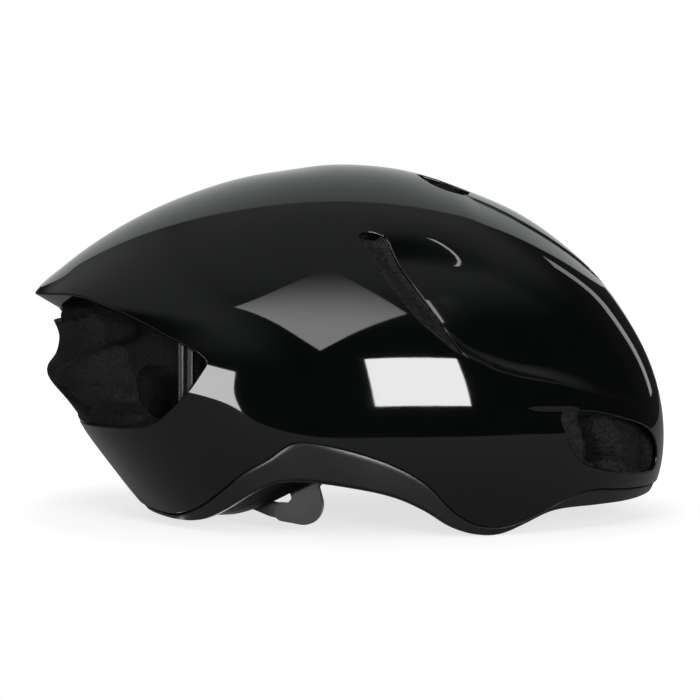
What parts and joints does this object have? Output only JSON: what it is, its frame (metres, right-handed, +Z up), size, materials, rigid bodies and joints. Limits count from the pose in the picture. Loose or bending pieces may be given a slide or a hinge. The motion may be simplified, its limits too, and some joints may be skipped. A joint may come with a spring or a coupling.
{
  "type": "bicycle helmet",
  "caption": "Aero road bicycle helmet: glossy outer shell over a foam liner, with comfort pads, strap harness and a dial-adjusted fit ring.",
  "frame": {"origin": "centre of the base of the bounding box, on the surface that the helmet stands on", "axes": "+X forward towards the brow, +Y to the wearer's left, +Z up towards the crown"},
  "size_m": [0.289, 0.2078, 0.1615],
  "materials": {
    "shell_gloss": "gloss black moulded shell",
    "shell_satin": "satin black moulded shell",
    "foam": "dark grey bead foam",
    "nylon": "matt black moulded nylon",
    "pad_fabric": "black knitted pad cover",
    "webbing": "black woven webbing",
    "rubber": "dark grey rubber",
    "steel": "plain steel screw"
  },
  "bodies": {
    "helmet": {"upper_shell": "shell_gloss", "lower_shell": "shell_satin", "eps_liner": "foam", "rear_vent_struts": "shell_satin", "brow_pad": "pad_fabric", "front_crown_pad": "pad_fabric", "rear_crown_pad": "pad_fabric", "side_pad_left": "pad_fabric", "side_pad_right": "pad_fabric", "nape_pad_left": "pad_fabric", "nape_pad_right": "pad_fabric", "strap_anchors": "nylon", "front_strap_left": "webbing", "front_strap_right": "webbing", "rear_strap_left": "webbing", "rear_strap_right": "webbing", "strap_divider_left": "nylon", "strap_divider_right": "nylon", "chin_strap_left": "webbing", "chin_strap_right": "webbing", "strap_keeper": "rubber", "buckle_socket": "nylon", "buckle_plug": "nylon", "pivot_anchor_left": "nylon", "pivot_anchor_right": "nylon"},
    "ring": {"ring_arm_left": "nylon", "ring_arm_right": "nylon", "ring_belt_left": "nylon", "ring_belt_right": "nylon"},
    "housing": {"dial_housing": "nylon", "housing_cover": "nylon", "cover_screws": "steel", "ratchet_ring": "nylon", "occipital_pad": "pad_fabric"},
    "dial": {"dial_knob": "nylon", "dial_grip": "rubber", "pinion": "nylon", "dial_screw": "steel"},
    "rack_left": {"rack_left": "nylon"},
    "rack_right": {"rack_right": "nylon"},
    "prong_front": {"buckle_prong_front": "nylon"},
    "prong_rear": {"buckle_prong_rear": "nylon"}
  },
  "joints": [
    {"name": "ring_tilt", "type": "hinge", "parent": "helmet", "child": "ring", "pos_m": [-0.021, 0, 0.056], "axis": [0, 1, 0], "range_deg": [-4, 4]},
    {"name": "housing_slide", "type": "slide", "parent": "ring", "child": "housing", "axis": [1, 0, 0], "range_m": [0, 0.01005], "deforming": ["ring_belt_left", "ring_belt_right"]},
    {"name": "dial_turn", "type": "hinge", "parent": "housing", "child": "dial", "pos_m": [-0.0795, 0, 0.032], "axis": [1, 0, 0], "range_deg": [0, 180]},
    {"name": "rack_left_slide", "type": "slide", "parent": "housing", "child": "rack_left", "axis": [0, -1, 0], "range_m": [0, 0.01007]},
    {"name": "rack_right_slide", "type": "slide", "parent": "housing", "child": "rack_right", "axis": [0, 1, 0], "range_m": [0, 0.01007]},
    {"name": "prong_front_squeeze", "type": "hinge", "parent": "helmet", "child": "prong_front", "pos_m": [0.02075, -0.0052, 0.1276], "axis": [0, 0, 1], "range_deg": [0, 5], "stiffness_Nm_per_rad": 0.3},
    {"name": "prong_rear_squeeze", "type": "hinge", "parent": "helmet", "child": "prong_rear", "pos_m": [0.00725, -0.0052, 0.1276], "axis": [0, 0, -1], "range_deg": [0, 5], "stiffness_Nm_per_rad": 0.3}
  ],
  "couplings": [
    {"joint": "dial_turn", "follows": "housing_slide", "rad_per_m": 312.5},
    {"joint": "rack_left_slide", "follows": "housing_slide", "ratio": 1},
    {"joint": "rack_right_slide", "follows": "housing_slide", "ratio": 1}
  ]
}
